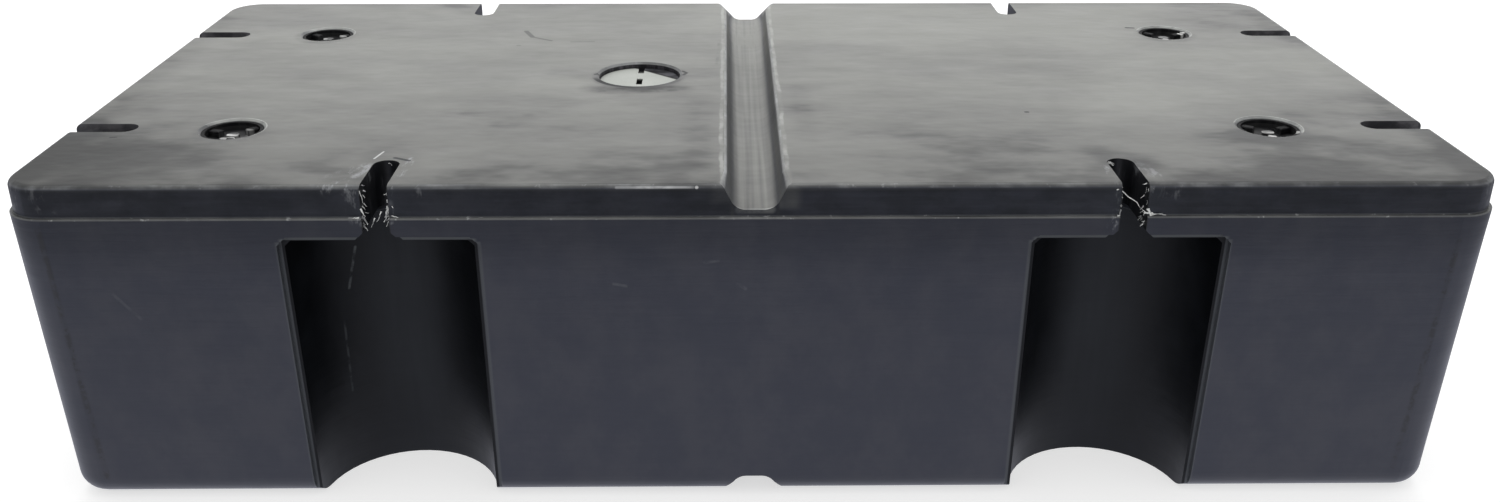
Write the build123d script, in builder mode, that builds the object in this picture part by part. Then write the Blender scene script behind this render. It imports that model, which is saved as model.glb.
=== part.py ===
"""Dock float drum: a rotationally moulded float, 48 x 24 x 12 in nominal, with five closures in its top.

Millimetres. X runs along the drum, the long side with negative Y is the front, Z is up, and the origin is the
middle of the bottom face. The drum is closed all round, so its hidden hollow is left solid.
"""

import math
import os

from build123d import *

# Overall size, over the parting lip
length = 1219.2
width = 609.6
height = 298.0

# Outline and edges
corner_radius = 37.0
rim_height = 27.0
lip_step = 3.0
lip_chamfer = 1.0
draft_angle = 2.1
top_edge_radius = 6.0
bottom_edge_radius = 22.0

# Bolt pockets and the slots over them
side_slot_spacing = 609.6
end_slot_spacing = 314.0
slot_width = 22.0
slot_reach = 60.0
flange_thickness = 48.0
pocket_radius = 77.0
pocket_mouth_radius = 5.0
pocket_ceiling_chamfer = 5.0
slot_foot_flare = 9.0
slot_foot_angle = 45.0

# Channels across the top and the underside
channel_top_half = 23.0
channel_floor_half = 18.0
channel_floor_radius = 14.0
channel_edge_radius = 4.0
channel_front_flare = 5.0
channel_back_flare = 13.0
channel_flare_length = 36.0
channel_floor_pinch = 0.5
top_channel_depth = 21.0
under_channel_depth = 21.0

# Fill opening and its pale closure
fill_x = -110.0
fill_y = 6.0
fill_diameter = 81.0
fill_depth = 5.8
fill_edge_chamfer = 2.0
fill_seat_width = 8.0
fill_flange_thickness = 4.0
fill_spigot_depth = 11.0
fill_bore_depth = 14.0
drive_slot_width = 6.0
drive_slot_depth = 9.0
drive_slot_length = 19.0
drive_bridge = 19.0
drive_offset = 12.0

# Vent openings near the corners and their dished plugs
vent_end_margin = 147.6
vent_side_margin = 144.8
vent_diameter = 54.0
vent_depth = 2.0
vent_edge_chamfer = 2.0
vent_cup_height = 10.0
vent_rim_width = 3.0
vent_floor_thickness = 3.0
vent_boss_diameter = 11.0
vent_boss_height = 3.5
vent_lug_count = 3
vent_lug_width = 7.0
vent_lug_length = 11.0
vent_lug_drop = 1.5
vent_lug_chamfer = 0.8
# How far each vent plug was left turned, counter-clockwise from above, in degrees
vent_turns = {"front_left": 40.0, "front_right": -95.0, "back_left": 25.0, "back_right": -97.0}

fit_clearance = 0.3
# How far a cutting form stands out past the skin it cuts, and past the end of a rounded edge
overrun = 12.0
edge_overrun = 0.1

# Heights and depths that follow from the sizes above
lip_z = height - rim_height
ceiling_z = height - flange_thickness
fill_seat_depth = fill_depth + fill_flange_thickness
vent_seat_depth = vent_depth + vent_cup_height
draft_slope = math.tan(math.radians(draft_angle))

# The drafted wall at a pocket's mouth: a point of it at the ceiling, and the directions up it and out of it
mouth_top = (0, draft_slope * (lip_z - ceiling_z) - edge_overrun, ceiling_z)
wall_up = (0, -math.sin(math.radians(draft_angle)), math.cos(math.radians(draft_angle)))
wall_out = (0, -wall_up[2], wall_up[1])


def block_form():
    """The rim on its drafted body, with the lip broken and the top and bottom edges rounded."""
    with BuildPart() as block:
        with BuildSketch(Plane.XY.offset(lip_z)):
            RectangleRounded(length, width, corner_radius)
        extrude(amount=-lip_z, taper=draft_angle)
        fillet(block.faces().sort_by(Axis.Z)[0].edges(), bottom_edge_radius)
        chamfer(block.faces().sort_by(Axis.Z)[-1].edges(), lip_chamfer)
        with BuildSketch(Plane.XY.offset(lip_z)):
            RectangleRounded(length - 2 * lip_step, width - 2 * lip_step, corner_radius - lip_step)
        extrude(amount=rim_height)
        fillet(block.faces().sort_by(Axis.Z)[-1].edges(), top_edge_radius)
    return block.part


def pocket_form():
    """A bolt pocket: a cylinder that leans with the drafted wall, half of it outside the drum.

    Its origin is where the wall's outside meets the parting plane, on the ground.
    """
    with BuildPart() as pocket:
        with BuildSketch(Plane(origin=mouth_top, x_dir=(1, 0, 0), z_dir=wall_up)):
            Circle(pocket_radius)
        extrude(amount=-ceiling_z - overrun)
        chamfer(pocket.edges().sort_by(Axis.Z)[-1], pocket_ceiling_chamfer)
    return pocket.part


def slot_outline():
    """The slot's outline from above, open to the outside, where the drum's outside is Y = 0."""
    centre_y = lip_step + slot_reach - slot_width / 2
    with Locations((0, centre_y)):
        Circle(slot_width / 2)
        Rectangle(slot_width, centre_y + overrun, align=(Align.CENTER, Align.MAX))


def slot_form():
    """The upright slot through the flange over a pocket, flared at its foot, in the pocket's own place."""
    with BuildPart() as slot:
        with BuildSketch(Plane.XY.offset(ceiling_z - overrun)):
            slot_outline()
        extrude(amount=flange_thickness + 2 * overrun)
        with BuildSketch(Plane.XY.offset(ceiling_z + slot_foot_flare)):
            slot_outline()
        extrude(amount=-slot_foot_flare - edge_overrun, taper=-slot_foot_angle)
    return slot.part


def mouth_form():
    """The rounding of a pocket's mouth: up one side, over its broken corners and down the other."""
    half = pocket_radius
    rise = pocket_ceiling_chamfer
    foot = -ceiling_z - overrun
    radius = pocket_mouth_radius
    with BuildPart() as mouth:
        with BuildLine(Plane(origin=mouth_top, x_dir=(1, 0, 0), z_dir=wall_out)) as outline:
            Polyline((-half, foot), (-half, -rise), (rise - half, 0), (half - rise, 0), (half, -rise), (half, foot))
        with BuildSketch(Plane(origin=outline.line @ 0, x_dir=(-1, 0, 0), z_dir=outline.line % 0)):
            with BuildLine():
                Polyline((0, radius), (-radius, radius), (-radius, -radius), (radius, -radius), (radius, 0))
                RadiusArc((radius, 0), (0, radius), radius)
            make_face()
        sweep(transition=Transition.RIGHT)
    return mouth.part


def bolt_form():
    """A pocket with its rounded mouth and the slot over it, as one cutting form."""
    pocket = pocket_form()
    slot = slot_form()
    mouth = mouth_form()
    with BuildPart() as bolt:
        add(pocket)
        add(slot)
        add(mouth)
    return bolt.part


def channel_section(flare, depth):
    """The outline of a channel that is cut down from z = 0, as a closed line in the sketch's plane."""
    top = channel_top_half + flare
    floor = channel_floor_half - channel_floor_pinch * flare
    edge_radius = channel_edge_radius + flare
    reach = top + edge_radius + overrun
    FilletPolyline(
        (-reach, edge_overrun),
        (-top, edge_overrun),
        (-floor, -depth),
        (floor, -depth),
        (top, edge_overrun),
        (reach, edge_overrun),
        (reach, overrun),
        (-reach, overrun),
        radius=(0, edge_radius, channel_floor_radius, channel_floor_radius, edge_radius, 0, 0, 0),
        close=True,
    )


def channel_form(depth):
    """A channel along Y, opening upwards at z = 0, with its two ends flared."""
    half = width / 2
    flare_y = half - channel_flare_length
    stations = (
        (-half - overrun, -flare_y, channel_front_flare, 0.0),
        (-flare_y, flare_y, 0.0, 0.0),
        (flare_y, half + overrun, 0.0, channel_back_flare),
    )
    with BuildPart() as channel:
        for start, end, start_flare, end_flare in stations:
            for y, flare in ((start, start_flare), (end, end_flare)):
                with BuildSketch(Plane.XZ.offset(-y)):
                    with BuildLine():
                        channel_section(flare, depth)
                    make_face()
            loft()
    return channel.part


def recess_form(diameter, edge_chamfer, depth):
    """A round recess with a broken upper edge, cut down from z = 0."""
    radius = diameter / 2
    with BuildPart() as recess:
        with BuildSketch(Plane.XZ):
            with BuildLine():
                Polyline(
                    (0, edge_overrun),
                    (radius + edge_chamfer + edge_overrun, edge_overrun),
                    (radius, -edge_chamfer),
                    (radius, -depth),
                    (0, -depth),
                    close=True,
                )
            make_face()
        revolve(axis=Axis.Z)
    return recess.part


def fill_opening_form():
    """The fill opening: a recess whose floor is the closure's ledge, with a bore for its spigot."""
    recess = recess_form(fill_diameter, fill_edge_chamfer, fill_seat_depth)
    with BuildPart() as opening:
        add(recess)
        with BuildSketch(Plane.XY.offset(-fill_seat_depth)):
            Circle(fill_diameter / 2 - fill_seat_width)
        extrude(amount=-fill_bore_depth)
    return opening.part


side_x = side_slot_spacing / 2
end_y = end_slot_spacing / 2
bolt_places = [
    *(Location((side * side_x, -width / 2, 0)) for side in (-1, 1)),
    *(Location((side * side_x, width / 2, 0), (0, 0, 180)) for side in (-1, 1)),
    *(Location((-length / 2, end * end_y, 0), (0, 0, -90)) for end in (-1, 1)),
    *(Location((length / 2, end * end_y, 0), (0, 0, 90)) for end in (-1, 1)),
]
fill_place = Location((fill_x, fill_y, height))
vent_places = {
    f"{depth_name}_{side_name}": Location(
        (side * (length / 2 - vent_end_margin), end * (width / 2 - vent_side_margin), height)
    )
    for end, depth_name in ((-1, "front"), (1, "back"))
    for side, side_name in ((-1, "left"), (1, "right"))
}


def fill_plug_form():
    """The pale closure: a flange on the ledge, a spigot in the bore and two drive slots in line."""
    pitch = drive_bridge + drive_slot_length
    with BuildPart() as plug:
        with BuildSketch(Plane.XY.offset(-fill_depth)):
            Circle(fill_diameter / 2 - fit_clearance)
        extrude(amount=-fill_flange_thickness)
        with BuildSketch(Plane.XY.offset(-fill_seat_depth)):
            Circle(fill_diameter / 2 - fill_seat_width - fit_clearance)
        extrude(amount=-fill_spigot_depth)
        with BuildSketch(Plane.XY.offset(-fill_depth)):
            with Locations((0, drive_offset)):
                with GridLocations(0, pitch, 1, 2):
                    Rectangle(drive_slot_width, drive_slot_length)
        extrude(amount=-drive_slot_depth, mode=Mode.SUBTRACT)
    return plug.part


def vent_plug_form():
    """A dished black plug: a cup that fills its recess, with three drive lugs and a middle boss in the dish."""
    cup_radius = vent_diameter / 2 - fit_clearance
    dish_radius = cup_radius - vent_rim_width
    floor_z = vent_floor_thickness - vent_seat_depth
    lug_height = vent_cup_height - vent_floor_thickness - vent_lug_drop
    with BuildPart() as plug:
        with BuildSketch(Plane.XY.offset(-vent_seat_depth)):
            Circle(cup_radius)
        extrude(amount=vent_cup_height)
        with BuildSketch(Plane.XY.offset(-vent_depth)):
            Circle(dish_radius)
        extrude(amount=floor_z + vent_depth, mode=Mode.SUBTRACT)
        with BuildSketch(Plane.XY.offset(floor_z)):
            Circle(vent_boss_diameter / 2)
        extrude(amount=vent_boss_height)
        with BuildSketch(Plane.XY.offset(floor_z)):
            with PolarLocations(dish_radius - fit_clearance - vent_lug_length / 2, vent_lug_count):
                Rectangle(vent_lug_length, vent_lug_width)
        extrude(amount=lug_height)
        lug_tops = plug.faces().group_by(Axis.Z)[-2]
        chamfer(lug_tops.edges(), vent_lug_chamfer)
    return plug.part


os.makedirs("parts", exist_ok=True)

block = block_form()
bolt = bolt_form()
top_channel = channel_form(top_channel_depth)
under_channel = channel_form(under_channel_depth)
fill_opening = fill_opening_form()
vent_opening = recess_form(vent_diameter, vent_edge_chamfer, vent_seat_depth)

with BuildPart() as float_shell:
    add(block)
    with Locations(*bolt_places):
        add(bolt, mode=Mode.SUBTRACT)
    with Locations((0, 0, height)):
        add(top_channel, mode=Mode.SUBTRACT)
    with Locations(Location((0, 0, 0), (180, 0, 0))):
        add(under_channel, mode=Mode.SUBTRACT)
    with Locations(fill_place):
        add(fill_opening, mode=Mode.SUBTRACT)
    with Locations(*vent_places.values()):
        add(vent_opening, mode=Mode.SUBTRACT)
float_shell.part.label = "float_shell"
export_step(float_shell.part, "parts/float_shell.step")

fill_closure = fill_plug_form()
with BuildPart() as fill_plug:
    with Locations(fill_place):
        add(fill_closure)
fill_plug.part.label = "fill_plug"
export_step(fill_plug.part, "parts/fill_plug.step")

vent_closure = vent_plug_form()
for place_name, place in vent_places.items():
    with BuildPart() as vent_plug:
        with Locations(place):
            add(vent_closure, rotation=(0, 0, vent_turns[place_name]))
    vent_plug.part.label = f"vent_plug_{place_name}"
    export_step(vent_plug.part, f"parts/{vent_plug.part.label}.step")
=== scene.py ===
# %% [markdown]
# # A dock float drum
# The drum is one black plastic moulding with five closures in its top. Its solids come from the packed
# frame at their real size, so this script has two jobs: to give every piece the finish that its real
# surface has, with some light and shade painted into it, and to add the few loose shreds of plastic that a
# saw left in the front slots. Everything is in metres, in the frame's axes: X runs along the drum, the
# front is at negative Y, and Z is up from the ground.

# %% Load the frame
import math
import random

import bmesh
import bpy
from mathutils import Matrix, Vector


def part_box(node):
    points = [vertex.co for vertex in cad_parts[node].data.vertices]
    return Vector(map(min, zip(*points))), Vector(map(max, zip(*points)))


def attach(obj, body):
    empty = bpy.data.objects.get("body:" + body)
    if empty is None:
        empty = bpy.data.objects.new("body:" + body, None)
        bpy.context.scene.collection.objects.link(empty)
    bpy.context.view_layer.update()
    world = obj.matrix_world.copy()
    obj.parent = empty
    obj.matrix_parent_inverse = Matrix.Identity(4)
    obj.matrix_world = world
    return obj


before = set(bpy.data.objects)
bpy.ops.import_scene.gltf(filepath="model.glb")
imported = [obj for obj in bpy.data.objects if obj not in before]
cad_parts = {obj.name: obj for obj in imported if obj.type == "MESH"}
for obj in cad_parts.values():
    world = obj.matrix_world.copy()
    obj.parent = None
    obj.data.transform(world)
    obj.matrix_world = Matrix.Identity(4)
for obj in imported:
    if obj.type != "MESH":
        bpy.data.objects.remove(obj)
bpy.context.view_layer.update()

MM = 0.001
shell_low, shell_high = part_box("float_shell")
print("frame nodes:", sorted(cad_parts))
print("shell, mm:", [round(v / MM, 1) for v in shell_high - shell_low])

# %% [markdown]
# ## The camera
# The photograph was taken from in front, a little to the left of the middle and about 0.7 m up, looking
# down. The numbers could be found by eye, by moving the camera until the edges lie right. Here they were
# worked out once from the real places of the drum's corners, slots and plugs, which is why the lens and
# the small shift are odd numbers.

# %% Camera
IMAGE_WIDTH, IMAGE_HEIGHT = 1500, 502
CAMERA_PLACE = Vector((-0.0225, -1.3210, 0.6958))
LOOK_DOWN, TURN, ROLL = (math.radians(a) for a in (23.595, -0.6475, 0.0734))
SENSOR_WIDTH = 36.0
FOCAL_PIXELS = 1372.4
PICTURE_CENTRE = (741.75, 239.92)

camera_data = bpy.data.cameras.new("camera")
camera_data.sensor_fit = "HORIZONTAL"
camera_data.sensor_width = SENSOR_WIDTH
camera_data.lens = FOCAL_PIXELS / IMAGE_WIDTH * SENSOR_WIDTH
camera_data.shift_x = (IMAGE_WIDTH / 2 - PICTURE_CENTRE[0]) / IMAGE_WIDTH
camera_data.shift_y = (PICTURE_CENTRE[1] - IMAGE_HEIGHT / 2) / IMAGE_WIDTH
camera = bpy.data.objects.new("camera", camera_data)
camera.matrix_world = (
    Matrix.Translation(CAMERA_PLACE)
    @ Matrix.Rotation(TURN, 4, "Z")
    @ Matrix.Rotation(math.radians(90) - LOOK_DOWN, 4, "X")
    @ Matrix.Rotation(ROLL, 4, "Z")
)
bpy.context.scene.collection.objects.link(camera)
bpy.context.scene.camera = camera
print("lens, mm:", round(camera_data.lens, 2))

# %% [markdown]
# ## Nodes written as arithmetic
# A finish is a network of shader nodes. Wiring them one by one is long and hard to read, so a socket is
# wrapped in a small class whose operators add Math nodes: `1 - mask * 0.5` builds two of them. A mask is a
# number from 0 to 1 for every point of the surface, and most masks come from `rises`, a smooth step, or
# from two steps back to back.


# %% Socket arithmetic
class Value:
    """A socket in a network, on which arithmetic adds Math nodes."""

    def __init__(self, network, socket):
        self.network = network
        self.socket = socket

    def _math(self, operation, first, second=0.0):
        return self.network.node("ShaderNodeMath", {0: first, 1: second}, operation=operation)

    def __add__(self, other):
        return self._math("ADD", self, other)

    def __radd__(self, other):
        return self._math("ADD", other, self)

    def __sub__(self, other):
        return self._math("SUBTRACT", self, other)

    def __rsub__(self, other):
        return self._math("SUBTRACT", other, self)

    def __mul__(self, other):
        return self._math("MULTIPLY", self, other)

    def __rmul__(self, other):
        return self._math("MULTIPLY", other, self)

    def __abs__(self):
        return self._math("ABSOLUTE", self)

    def least(self, other):
        return self._math("MINIMUM", self, other)

    def most(self, other):
        return self._math("MAXIMUM", self, other)

    def root(self):
        return self._math("SQRT", self)

    def rises(self, low, high):
        """0 below low, 1 above high, and a smooth step between them; low above high makes it fall."""
        if low > high:
            return 1 - self.rises(high, low)
        return self.network.node(
            "ShaderNodeMapRange",
            {"Value": self, "From Min": low, "From Max": high},
            interpolation_type="SMOOTHSTEP",
        )

    def between(self, start, full, last, end):
        """0 below start, 1 from full to last, and 0 above end."""
        return self.rises(start, full) * self.rises(end, last)


# %% [markdown]
# ### Nodes and patterns
# Every node comes from one method, which sets the node's own choices first and then its sockets. Dirt and
# wear could be painted on an image, but that would need the surface unfolded. The patterns here are read
# from the object's own coordinates, in metres, so they stay on the plastic from wherever the drum is seen.
# Three are enough for all of it: cloudy noise, a soft ball and a soft line.


# %% Nodes, noises, balls and lines
class Network:
    """The nodes of one material."""

    def __init__(self, name):
        self.material = bpy.data.materials.new(name)
        self.material.use_nodes = True
        self.nodes = self.material.node_tree.nodes
        self.links = self.material.node_tree.links
        self.nodes.clear()
        place = self.nodes.new("ShaderNodeTexCoord")
        self.place = Value(self, place.outputs["Object"])
        self.x, self.y, self.z = (self.part(self.place, axis) for axis in "XYZ")

    def node(self, kind, sockets, output=0, **choices):
        """Add a node, set its choices, then its sockets, and return one of its outputs."""
        made = self.nodes.new(kind)
        for name, choice in choices.items():
            setattr(made, name, choice)
        for key, value in sockets.items():
            if isinstance(value, Value):
                self.links.new(value.socket, made.inputs[key])
            else:
                made.inputs[key].default_value = value
        return Value(self, made.outputs[output]) if made.outputs else None

    def part(self, vector, axis):
        """One axis of a vector."""
        return self.node("ShaderNodeSeparateXYZ", {0: vector}, output=axis)

    def vectors(self, operation, first, second, output=0):
        """Work out something from two vectors."""
        return self.node("ShaderNodeVectorMath", {0: first, 1: second}, output=output, operation=operation)

    def noise(self, scale, detail=3.0, roughness=0.55, stretch=(1, 1, 1), shift=(0, 0, 0)):
        """Cloudy noise from 0 to 1 about 0.5, squeezed along each axis by the stretch."""
        moved = self.node(
            "ShaderNodeVectorMath", {0: self.place, 1: stretch, 2: shift}, operation="MULTIPLY_ADD")
        return self.node(
            "ShaderNodeTexNoise",
            {"Vector": moved, "Scale": scale, "Detail": detail, "Roughness": roughness},
            output="Fac",
        )

    def near(self, centre, radius, soft):
        """1 inside a sphere of that radius, falling to 0 over the soft width."""
        gap = self.vectors("DISTANCE", self.place, centre, output="Value")
        return gap.rises(radius + soft, radius)

    def near_line(self, start, end, radius, soft):
        """1 along a straight line between two points, falling to 0 over the soft width."""
        start, end = Vector(start), Vector(end)
        run = end - start
        away = self.vectors("SUBTRACT", self.place, start)
        along = self.vectors("DOT_PRODUCT", away, run / run.length_squared, output="Value")
        held = along.most(0.0).least(1.0)
        nearest = self.node("ShaderNodeVectorMath", {0: run, "Scale": held}, operation="SCALE")
        gap = self.vectors("DISTANCE", away, nearest, output="Value")
        return gap.rises(radius + soft, radius)


# %% [markdown]
# ### Layers
# A real surface gets its look in order: the plastic, then dust, then what rubs or cuts it. A finish does
# the same. It holds the colour so far, and each call of `lay` covers that colour as far as a mask says.
# All of it could be one long expression, but then a layer couldn't be taken out to see what it does.


# %% A finish, built up layer by layer
class Finish(Network):
    """A material with a colour that grows layer by layer."""

    def __init__(self, name, colour=None):
        super().__init__(name)
        self.colour = colour

    def mix(self, factor, first, second):
        """Blend two colours."""
        first, second = ((*one, 1.0) if isinstance(one, tuple) else one for one in (first, second))
        return self.node("ShaderNodeMix", {0: factor, 6: first, 7: second}, output=2, data_type="RGBA")

    def lay(self, mask, colour):
        """Cover the colour so far with another one, as far as the mask says."""
        self.colour = self.mix(mask, self.colour, colour)

    def lay_marks(self, marks, pattern, colour):
        """Lay lines of one colour, each with its ends, half width and soft width in mm, and strength."""
        for start, end, thick, soft, strength in marks:
            mark = self.near_line(start, end, thick * MM, soft * MM)
            self.lay(mark * strength * pattern, colour)

    def bump(self, height, depth, under=None):
        """Tilt the surface by a height from 0 to 1 that stands for depth metres."""
        sockets = {"Height": height, "Strength": 1.0, "Distance": depth}
        if under is not None:
            sockets["Normal"] = under
        return self.node("ShaderNodeBump", sockets, output="Normal")

    def plastic(self, **sockets):
        """A plastic shader, whose sockets are named with underscores."""
        named = {key.replace("_", " "): value for key, value in sockets.items()}
        return self.node("ShaderNodeBsdfPrincipled", {"IOR": 1.5, **named})

    def blend(self, factor, first, second):
        """Pass from one shader to another."""
        return self.node("ShaderNodeMixShader", {0: factor, 1: first, 2: second})

    def close(self, shader):
        """End the network and return the finished material."""
        self.node("ShaderNodeOutputMaterial", {"Surface": shader})
        return self.material

    def tell(self, layer):
        """Say how far the finish has grown."""
        print(f"{self.material.name}: {layer}, {len(self.nodes)} nodes so far")


def give(node_name, material):
    """Put a finish on a CAD node."""
    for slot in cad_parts[node_name].material_slots:
        slot.material = material
    print(node_name, "has the finish", material.name)


# %% [markdown]
# ## The moulded shell
# Rotational moulding melts powder onto a hot tool, so the skin is slightly wavy, satin and fine-grained,
# with no sharp texture. The plastic is black all over, but the top is a chalky grey: it has been walked
# on, wiped and weathered, and part of its grey is painted sheen. One flat colour would look painted, so
# the finish is laid in layers, from the bare plastic up to the last scratch, and some of the layers are
# painted light and shade. Each layer has to know where it lies, and the measures for that are the drum's
# own: its outside comes from the frame, and the rest are the real sizes of this drum.

# %% Measures of the shell
HEIGHT = shell_high.z
HALF_LENGTH = shell_high.x
HALF_WIDTH = shell_high.y
RIM_HEIGHT = 27 * MM
FLANGE_THICK = 48 * MM
SEAM_Z = HEIGHT - RIM_HEIGHT
CEILING_Z = HEIGHT - FLANGE_THICK
LIP_STEP = 3 * MM
EDGE_RADIUS = 6 * MM
DRAFT_SLOPE = math.tan(math.radians(2.1))
SLOT_X = 304.8 * MM
END_SLOT_Y = 157 * MM
SLOT_HALF = 11 * MM
SLOT_DEPTH = 63 * MM
POCKET_RADIUS = 77 * MM
CHANNEL_TOP_HALF = 27 * MM
FILL_PLACE = Vector((-110 * MM, 6 * MM, HEIGHT))
FILL_RADIUS = 40.5 * MM
FILL_DEPTH = 5.8 * MM
VENT_X, VENT_Y = 462 * MM, 160 * MM
VENT_RADIUS = 27 * MM
VENT_PLACES = [Vector((side * VENT_X, end * VENT_Y, HEIGHT)) for end in (-1, 1) for side in (-1, 1)]


def at(x, y, z):
    """Any point, from millimetres."""
    return Vector((x, y, z)) * MM


def on_top(x, y):
    """A point of the top face, from millimetres."""
    return Vector((x * MM, y * MM, HEIGHT))


def on_edge(x, steepness):
    """A point of the top's rounded front edge, from millimetres along and the edge's slope in degrees."""
    turn = math.radians(90 - steepness)
    y = -HALF_WIDTH + LIP_STEP + EDGE_RADIUS * (1 - math.cos(turn))
    return Vector((x * MM, y, HEIGHT - EDGE_RADIUS * (1 - math.sin(turn))))


def on_front(x, z):
    """A point of the drafted front face, from millimetres."""
    return Vector((x * MM, (SEAM_Z - z * MM) * DRAFT_SLOPE - HALF_WIDTH, z * MM))


print("parting lip and pocket ceilings, mm up:", round(SEAM_Z / MM, 1), round(CEILING_Z / MM, 1))

# %% [markdown]
# ### What the layers share
# The same dirt shows in many places, so the noises are made once and shared: broad clouds and smaller
# patches on the top, blotches and level ripples in the skin, a fine smudge and hard specks. Each could be
# made anew in every layer, but then the marks of one layer wouldn't fit those of the next. Two more masks
# tell the top from the walls by the way that the surface faces.


# %% The shell's noises, and the bare skin
class ShellFinish(Finish):
    """The shell's finish, with the noises and masks that its layers share."""

    def __init__(self, name, colour):
        super().__init__(name, colour)
        facing = self.node("ShaderNodeNewGeometry", {}, output="Normal")
        self.up = self.part(facing, "Z")
        self.flat = self.up.rises(0.5, 0.9)
        self.side = 1 - self.up.rises(0.3, 0.7)
        self.clouds = self.noise(5.0, 4.0, 0.6, stretch=(1, 1.6, 1))
        self.patches = self.noise(16.0, 3.0, 0.6, stretch=(0.8, 1.5, 1), shift=(3, 1, 0))
        self.blotches = self.noise(26.0, 4.0, 0.62, stretch=(1, 1, 0.8), shift=(2, 9, 4))
        self.ripples = self.noise(14.0, 3.0, 0.6, stretch=(0.7, 0.7, 9), shift=(4, 4, 0))
        self.smudge = self.noise(55.0, 4.0, 0.65, stretch=(0.6, 1.4, 1), shift=(1, 8, 0)).rises(0.38, 0.66)
        self.specks = self.noise(150.0, 2.0, 0.7, shift=(7, 0, 0)).rises(0.62, 0.78)

    def reaches_out(self, start, full, y):
        """1 near the drum's ends and sides, rising between two distances inwards; y picks the sides."""
        near_ends = abs(self.x).rises(HALF_LENGTH - start, HALF_LENGTH - full)
        return near_ends.most(y.rises(HALF_WIDTH - start, HALF_WIDTH - full))


# The blue in the side colours is partly a painted tint of the bluish floor light that the sides mirror;
# the top's own colour has none of it.
SIDE_BLACK = (0.0150, 0.0180, 0.0320)
SIDE_BLUE = (0.0270, 0.0290, 0.0420)
TOP_BLACK = (0.0170, 0.0175, 0.0160)
RIM_SHADE_BLACK = (0.007, 0.011, 0.019)

shell = ShellFinish("moulded_black", SIDE_BLACK)
shell.lay(shell.blotches.rises(0.35, 0.7), SIDE_BLUE)
shell.lay(shell.flat, TOP_BLACK)
outer = shell.reaches_out(7 * MM, 5 * MM, abs(shell.y))
# Painted shade on the rim band, which mirrors the floor further off, broken by the ripples and the smudge.
rim = shell.side * outer * shell.z.rises(SEAM_Z + 0.5 * MM, SEAM_Z + 2 * MM)
shell.lay(rim * (0.22 + 0.6 * (shell.ripples - 0.3) + 0.3 * shell.smudge), RIM_SHADE_BLACK)
shell.tell("bare skin, bluer on the sides, and the darker rim")

# %% [markdown]
# ### The chalky film on the top, and its painted sheen
# The film is not even, and the eye knows the drum by its smudges: darker behind the left end slot and
# beside the right plug, rubbed round the fill opening, bright at the back on the right. Noise alone would
# put smudges anywhere. So each known one is a short line on the top with a soft width, which adds to the
# film or takes it away, and noise fills in the rest: clouds and streaks that run along the drum, and fine
# lines along the middle channel. The film is thinner to the front, the ends and the back edge, and it
# stops where the top turns down into the rim. Its colour and its rise towards the back are partly painted
# sheen, for the top mirrors the light behind the drum.

# %% Known smudges in the film
# Two ends on the top, half width and soft width, all in millimetres, and what the mark adds to the film.
FILM_SMEARS = (
    ((-590, -150), (-572, -80), 8, 40, -0.13),
    ((-565, -70), (-500, -32), 6, 42, -0.06),
    ((-540, -235), (-330, -245), 10, 50, -0.08),
    ((-345, -195), (-250, -170), 8, 44, -0.14),
    ((-306, -228), (-300, -240), 10, 22, -0.14),
    ((300, -228), (318, -250), 8, 26, -0.16),
    ((335, -178), (428, -182), 6, 28, -0.18),
    ((500, -128), (566, -84), 6, 32, -0.10),
    ((-230, -150), (-130, -166), 2, 12, -0.10),
    ((-262, -118), (-205, -126), 2, 10, -0.10),
    ((-190, 12), (-155, -4), 4, 18, -0.30),
    ((-148, -42), (-72, -40), 3, 20, -0.42),
    ((-62, -6), (-36, 4), 3, 12, -0.16),
    ((-128, 68), (-52, 52), 6, 28, 0.20),
    ((-48, -250), (-46, -80), 3, 22, -0.12),
    ((48, -190), (46, -40), 2, 16, -0.14),
    ((215, -60), (410, -84), 16, 70, 0.12),
    ((60, 215), (360, 180), 26, 100, 0.38),
    ((420, 0), (560, 40), 20, 110, 0.25),
    ((540, 240), (600, 170), 30, 70, -0.30),
    ((-600, 180), (-520, 230), 10, 60, -0.12),
    ((-345, 290), (-322, 262), 4, 24, -0.34),
    ((345, 296), (324, 280), 4, 20, -0.20),
)
print(len(FILM_SMEARS), "known smudges")


# %% How much film lies where
CHALK_AND_SHEEN = (0.185, 0.188, 0.174)
THINNEST_FILM, THICKEST_FILM = 0.04, 1.3


def swing(noise):
    """A noise spread out to run from -0.5 to 0.5."""
    return noise.rises(0.30, 0.70) - 0.5


def film_and_sheen_amount(shell):
    """How much chalky film covers the surface, with painted sheen in it."""
    smears = shell.noise(15.0, 4.0, 0.6, stretch=(0.7, 3.2, 1), shift=(0, 5, 0))
    fine_lines = shell.noise(60.0, 1.0, 0.5, stretch=(4.2, 0.07, 0.2), shift=(1, 0, 2))
    back = shell.y.rises(-360 * MM, 20 * MM)
    front_ends = abs(shell.x).rises(300 * MM, 580 * MM) * shell.y.rises(-20 * MM, -240 * MM)
    channel_floor = abs(shell.x).rises(26 * MM, 17 * MM)
    margin = shell.reaches_out(42 * MM, 14 * MM, shell.y)
    # A quarter of a full film at the front and three quarters at the back, before the noise;
    # the rise towards the back is partly painted sheen
    amount = 0.24 + 0.50 * back - 0.22 * front_ends
    amount = amount + 0.40 * swing(shell.clouds) + 0.22 * swing(shell.patches)
    amount = amount + (0.06 + 0.13 * back) * swing(smears)
    amount = amount + channel_floor * (0.02 + 1.3 * (fine_lines - 0.5)) - 0.20 * margin
    for start, end, radius, soft, change in FILM_SMEARS:
        amount = amount + change * shell.near_line(on_top(*start), on_top(*end), radius * MM, soft * MM)
    return amount.most(THINNEST_FILM).least(THICKEST_FILM)


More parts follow.
